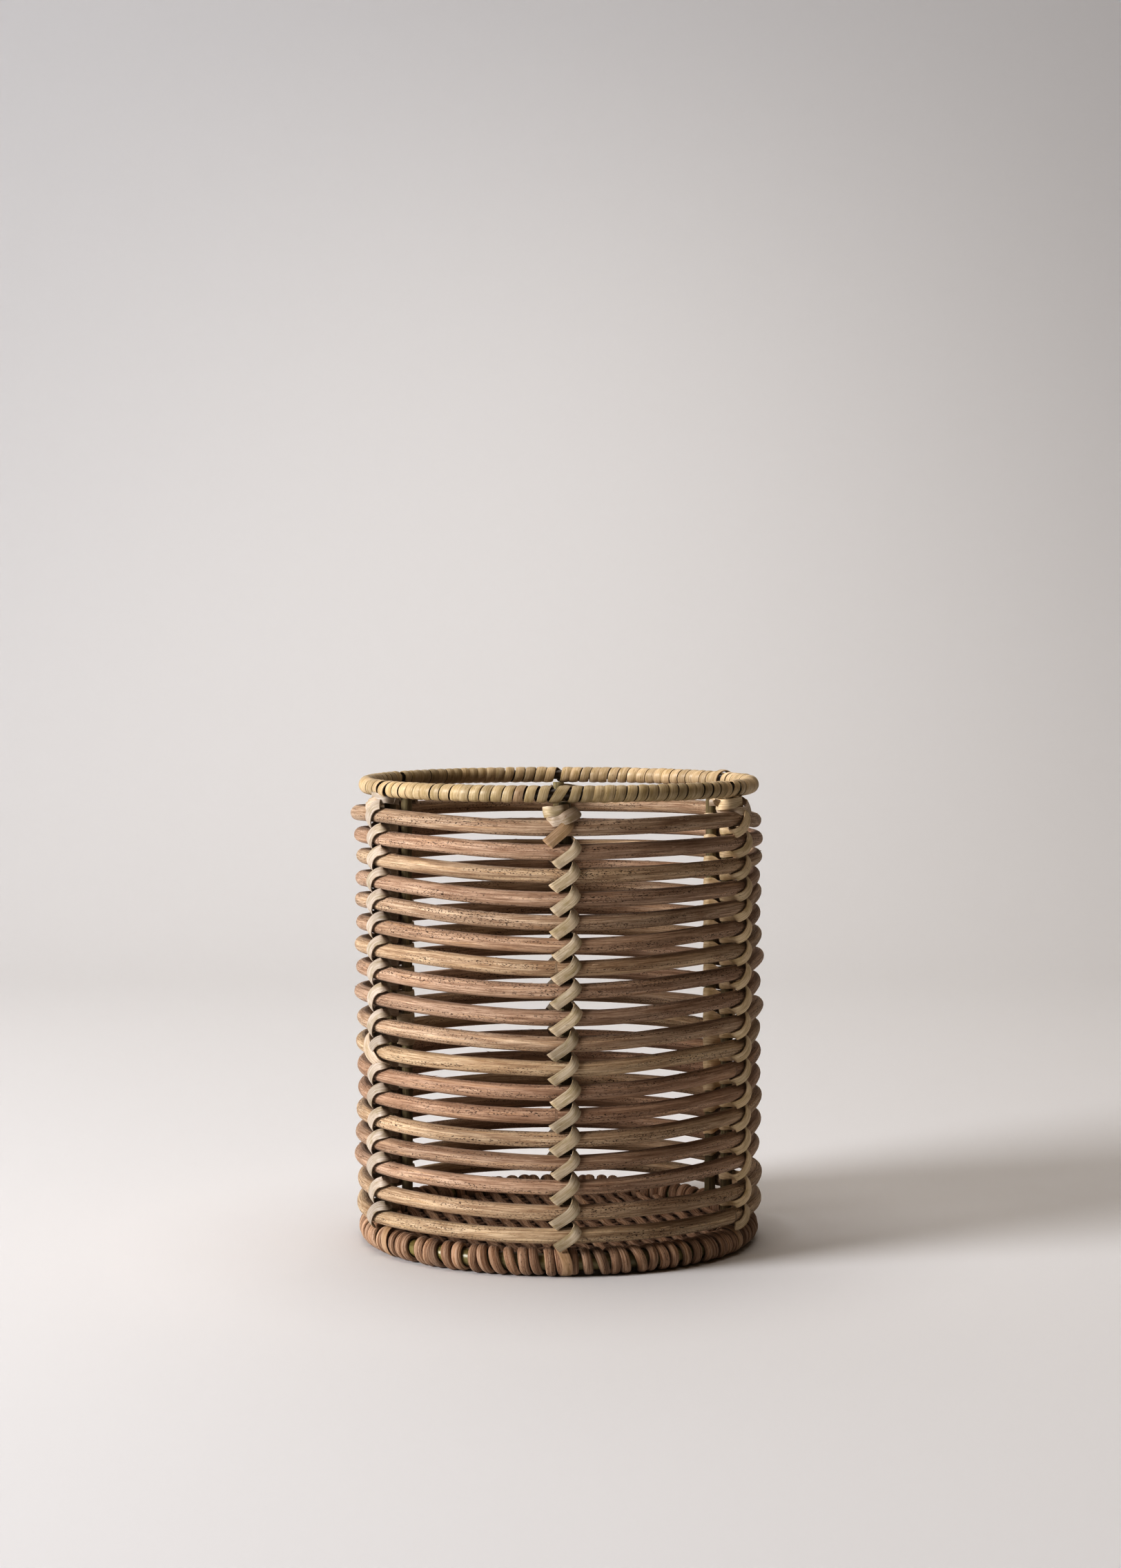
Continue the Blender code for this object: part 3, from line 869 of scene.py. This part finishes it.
def loose_end():
    """A short end of cane that sticks out sideways inside the wall.

    Each row is a key whose height is above the top rod's middle.
    """
    return [
        (-19.0 * MM, STAKE_CIRCLE - 1.0 * MM, 11.8 * MM, 0.1, 0.5, -0.9, 2.0 * MM),
        (-16.0 * MM, STAKE_CIRCLE + 0.2 * MM, 10.0 * MM, 0.1, 0.7, -0.7, 4.4 * MM),
        (-11.0 * MM, STAKE_CIRCLE + 1.2 * MM, 9.0 * MM, 0.0, 0.9, -0.4, 5.2 * MM),
        (-4.0 * MM, STAKE_CIRCLE + 2.2 * MM, 9.0 * MM, 0.0, 1.0, -0.2, 5.0 * MM),
    ]


def make_rim_ties(material):
    """The knots between the rim and the top hoop."""
    for number in range(COUNT):
        draw = np.random.default_rng(300 + number)
        azimuth = STAKE_AZIMUTHS[number]
        base = float(hoop_line(0, np.array(azimuth))[2])
        strips = [(upper_band(draw, number), 1.0, LASHING_TINTS[number]),
                  (crossing_band(draw), 1.3, PALE_CREAM)]
        if number in (RIGHT_STAKE, LEFT_STAKE):
            strips.append((loose_end(), 0.9, PALE_CREAM))
        bundle = Bundle()
        for index, (keys, thick, tint) in enumerate(strips):
            centres, normals, width = place_keys(keys, azimuth, 8)
            centres[:, 2] += base
            count = len(centres)
            bundle.sweep(centres, normals, strip_section(0.3), width, thick * MM,
                         varied(320 + 9 * number + index, tint, count, 0.10, 12.0),
                         start=60 + number + 0.3 * index)
        bundle.make(f"cane_tie_{number + 1}", material,
                    [f"rim_tie_{number + 1}"], sharp=50)


# Turns of reed round the base ring, and the reed's width in mm.
REED_TURNS = 96
REED_WIDTH = 6.3
REED_THICKNESS = 2.9 * MM
# How unevenly the turns lie round the ring, in radians.
REED_DRIFT = 0.0085

# The pale tie over the base ring at each stake: where it starts round the ring's tube, how much of
# a turn it makes, how far past the stake it lies and leans, and how proud and high it sits.
TIE_POINTS = 60
TIE_START = math.radians(100)
TIE_TURN = 2 * math.pi * 0.98
TIE_AZIMUTH = 0.012
TIE_LEAN = 0.030
TIE_PROUD = 0.35 * MM
TIE_LIFT = 0.8 * MM
TIE_LOWEST = 0.55 * MM
TIE_WIDTH = 6.2 * MM
TIE_THICKNESS = 1.0 * MM


def make_base(core_material, reed_material, cane_material):
    """The base: a core ring, one long reed wound round it, and a cane tie at each stake."""
    azimuth = np.linspace(0, 2 * math.pi, 300, endpoint=False)
    tint = varied(21, OLIVE, len(azimuth), 0.15, 9.0)
    core = Bundle()
    core.sweep(outward(azimuth) * BASE_CIRCLE + UP * BASE_HEIGHT, outward(azimuth),
               round_section(20), BASE_CORE, BASE_CORE, tint, closed=True)
    core.make("base_ring", core_material, ["base_core"])

    index = np.arange(REED_TURNS * TURN_STEPS)
    turn = index / TURN_STEPS
    phase = math.pi / 2 - 2 * math.pi * turn
    azimuth = turn / REED_TURNS * 2 * math.pi + smooth_steps(22, turn, REED_DRIFT)
    azimuth += smooth_steps(27, turn * 2, REED_DRIFT)
    radius = BASE_RADIUS - REED_THICKNESS / 2 + smooth_steps(23, turn * 2, 0.16 * MM)
    centres, normals = winding(BASE_CIRCLE, BASE_HEIGHT, radius, phase, azimuth)
    centres[:, 2] = np.maximum(centres[:, 2], REED_THICKNESS / 2)
    width = (REED_WIDTH + smooth_steps(24, turn, 0.45)) * MM
    reed = Bundle()
    reed.sweep(centres, normals, reed_section(), width, REED_THICKNESS,
               varied(25, REED, len(index), 0.12, TURN_STEPS), start=80.0)
    wraps = [f"base_wrap_{number + 1}" for number in range(COUNT)]
    reed.make("base_binding", reed_material, wraps)

    for number in range(COUNT):
        phase = TIE_START - np.linspace(0, TIE_TURN, TIE_POINTS)
        lean = TIE_LEAN * np.cos(phase + 0.5)
        azimuth = number * STAKE_STEP + TIE_AZIMUTH + lean
        radius = np.full(phase.shape, BASE_RADIUS + TIE_PROUD)
        centres, normals = winding(BASE_CIRCLE, BASE_HEIGHT + TIE_LIFT, radius, phase, azimuth)
        centres[:, 2] = np.maximum(centres[:, 2], TIE_LOWEST)
        tie = Bundle()
        tie.sweep(centres, normals, strip_section(), TIE_WIDTH, TIE_THICKNESS,
                  varied(330 + number, REED_PALE, len(phase), 0.06, 14.0), start=90 + number)
        tie.make(f"cane_base_tie_{number + 1}", cane_material,
                 [f"base_tie_{number + 1}"], sharp=50)


FLOOR_PITCH = 10.2 * MM
FLOOR_TURN = math.radians(12.6)
FLOOR_REED_WIDTH = 6.1 * MM
FLOOR_REED_THICKNESS = 2.5 * MM
SHORTEST_HALF = 12 * MM
FLOOR_POINT_STEP = 1.1 * MM
# Of the sway that a full over-and-under would need: how much the reeds wave, and how far up or
# down each set lies.
FLOOR_WAVE = 0.30
WARP_UP = 0.75
WEFT_DOWN = 0.85


def make_floor(material):
    """Two crossing sets of reed, each passing over and under the other."""
    middle = (FLOOR_LOW + FLOOR_HIGH) / 2
    sway = (FLOOR_HIGH - FLOOR_LOW) / 4
    limit = BASE_CIRCLE - BASE_CORE
    reach = int(limit / FLOOR_PITCH)
    # The weft lies lower and is given a darker tint: painted shade.
    for name, turn, phase, tint in (("weft", math.pi / 2, 0, REED_PAINTED_SHADE), ("warp", 0.0, 1, REED)):
        along = np.array([math.sin(FLOOR_TURN + turn), -math.cos(FLOOR_TURN + turn), 0.0])
        across = np.array([math.cos(FLOOR_TURN + turn), math.sin(FLOOR_TURN + turn), 0.0])
        bundle = Bundle()
        for run in range(-reach, reach + 1):
            offset = run * FLOOR_PITCH
            half = math.sqrt(max(limit ** 2 - offset ** 2, 0.0))
            if half < SHORTEST_HALF:
                continue
            s = np.linspace(-half, half, max(int(half / FLOOR_POINT_STEP), 16))
            drift = offset + smooth_steps(400 + run + 60 * phase, s / 0.04, 0.45 * MM)
            wave = np.cos(math.pi * (s / FLOOR_PITCH + run + phase)) * sway * FLOOR_WAVE
            wave += sway * (WARP_UP if phase else -WEFT_DOWN)
            centres = along * s[:, None] + across * drift[:, None] + UP * (middle + wave)[:, None]
            normals = np.broadcast_to(UP, centres.shape)
            bundle.sweep(centres, normals, reed_section(7), FLOOR_REED_WIDTH, FLOOR_REED_THICKNESS,
                         varied(430 + run + 60 * phase, tint, len(s), 0.10, 30.0),
                         start=100.0 + run + 50 * phase)
        bundle.make(f"reed_floor_{name}", material, [f"floor_{name}"])


# ---------------------------------------------------------------- studio

CAMERA_PLACE = (0.0011, -1.783, 0.3719)
CAMERA_DIP = math.radians(2.94)
CAMERA_LENS = 66.55

BASKET_MIDDLE = (0.0, 0.0, 0.14)
KEY_AZIMUTH = math.radians(-64)
KEY_RISE = math.radians(21)
KEY_DISTANCE = 4.0
KEY_PLACE = (
    KEY_DISTANCE * math.sin(KEY_AZIMUTH) * math.cos(KEY_RISE),
    -KEY_DISTANCE * math.cos(KEY_AZIMUTH) * math.cos(KEY_RISE),
    KEY_DISTANCE * math.sin(KEY_RISE),
)
KEY_SIZE = 1.7
KEY_POWER = 200.0
KEY_COLOUR = (0.97, 0.98, 1.02)
OVERHEAD_PLACE = (0.0, 0.1, 2.6)
OVERHEAD_TARGET = (0.0, 0.1, 0.0)
OVERHEAD_SIZE = 2.4
OVERHEAD_POWER = 35.0
OVERHEAD_COLOUR = (1.0, 0.95, 0.90)
BACKDROP_PLACE = (0.0, 1.7, 1.45)
BACKDROP_TARGET = (0.0, 1.7, 0.0)
BACKDROP_SIZE = 1.4
BACKDROP_POWER = 4.7
BACKDROP_COLOUR = (1.0, 0.96, 0.91)
FILL_COLOUR = (1.0, 0.57, 0.19, 1.0)
FILL_STRENGTH = 0.08
VIEW_GAMMA = 0.66
VIEW_EXPOSURE = 0.03


def make_camera():
    """The photo's viewpoint: a little above the rim, looking slightly down."""
    camera = bpy.data.objects.new("camera", bpy.data.cameras.new("camera"))
    bpy.context.scene.collection.objects.link(camera)
    camera.location = CAMERA_PLACE
    camera.rotation_euler = (math.pi / 2 - CAMERA_DIP, 0.0, 0.0)
    camera.data.sensor_width = 36.0
    camera.data.lens = CAMERA_LENS
    camera.data.clip_start = 0.05
    camera.data.clip_end = 60.0
    bpy.context.scene.camera = camera


def make_backdrop():
    """A pale sweep: flat floor that curves up into a wall far behind."""
    near, back, bend, top, half = -6.0, 1.3, 1.8, 6.5, 9.0
    steps = 24
    profile = [(near, 0.0), (back, 0.0)]
    for step in range(1, steps + 1):
        angle = math.radians(90 * step / steps)
        profile.append((back + bend * math.sin(angle), bend * (1 - math.cos(angle))))
    profile.append((back + bend, top))
    points = [(x, y, z) for y, z in profile for x in (-half, half)]
    faces = [(2 * i, 2 * i + 1, 2 * i + 3, 2 * i + 2) for i in range(len(profile) - 1)]
    mesh = bpy.data.meshes.new("backdrop")
    mesh.from_pydata(points, [], faces)
    mesh.shade_smooth()
    mesh.materials.append(floor_material())
    backdrop = bpy.data.objects.new("backdrop", mesh)
    bpy.context.scene.collection.objects.link(backdrop)


def add_area(name, place, target, size, power, colour):
    """A round area light that faces its target."""
    light = bpy.data.lights.new(name, "AREA")
    light.shape = "DISK"
    light.size = size
    light.energy = power
    light.color = colour
    lamp = bpy.data.objects.new(name, light)
    lamp.location = place
    lamp.rotation_euler = (Vector(target) - Vector(place)).to_track_quat("-Z", "Y").to_euler()
    bpy.context.scene.collection.objects.link(lamp)


def make_light():
    """Three lamps, a weak warm fill and the picture's tone curve."""
    add_area("key", KEY_PLACE, BASKET_MIDDLE, KEY_SIZE, KEY_POWER, KEY_COLOUR)
    add_area("overhead", OVERHEAD_PLACE, OVERHEAD_TARGET, OVERHEAD_SIZE, OVERHEAD_POWER,
             OVERHEAD_COLOUR)
    add_area("backdrop_light", BACKDROP_PLACE, BACKDROP_TARGET, BACKDROP_SIZE, BACKDROP_POWER,
             BACKDROP_COLOUR)
    world = bpy.data.worlds.new("studio")
    world.use_nodes = True
    sky = world.node_tree.nodes["Background"]
    sky.inputs["Color"].default_value = FILL_COLOUR
    sky.inputs["Strength"].default_value = FILL_STRENGTH
    bpy.context.scene.world = world
    view = bpy.context.scene.view_settings
    view.view_transform = "Standard"
    view.gamma = VIEW_GAMMA
    view.exposure = VIEW_EXPOSURE


def main():
    """Set the stage, then build the basket piece by piece."""
    make_camera()
    make_backdrop()
    make_light()
    rod = rattan("rattan_rod", streaks=0.62, pores=0.95, rough=0.64, sheen=0.1, fibre_depth=0.22)
    stake = rattan("rattan_stake", streaks=0.6, pores=0.4, rough=0.6, sheen=0.1, fibre_depth=0.16)
    reed = rattan("base_reed", streaks=0.95, pores=0.5, rough=0.66, sheen=0.1, fibre_depth=0.34)
    skin = cane("cane_skin", rough=0.50, coat=0.05)
    dull_skin = cane("cane_skin_dull", rough=0.48, coat=0.08)
    core = cane("ring_core", rough=0.30, coat=0.4)
    make_hoops(rod)
    make_stakes(stake)
    make_lashings(skin)
    make_rim(core, dull_skin)
    make_rim_ties(skin)
    make_base(core, reed, skin)
    make_floor(reed)


main()
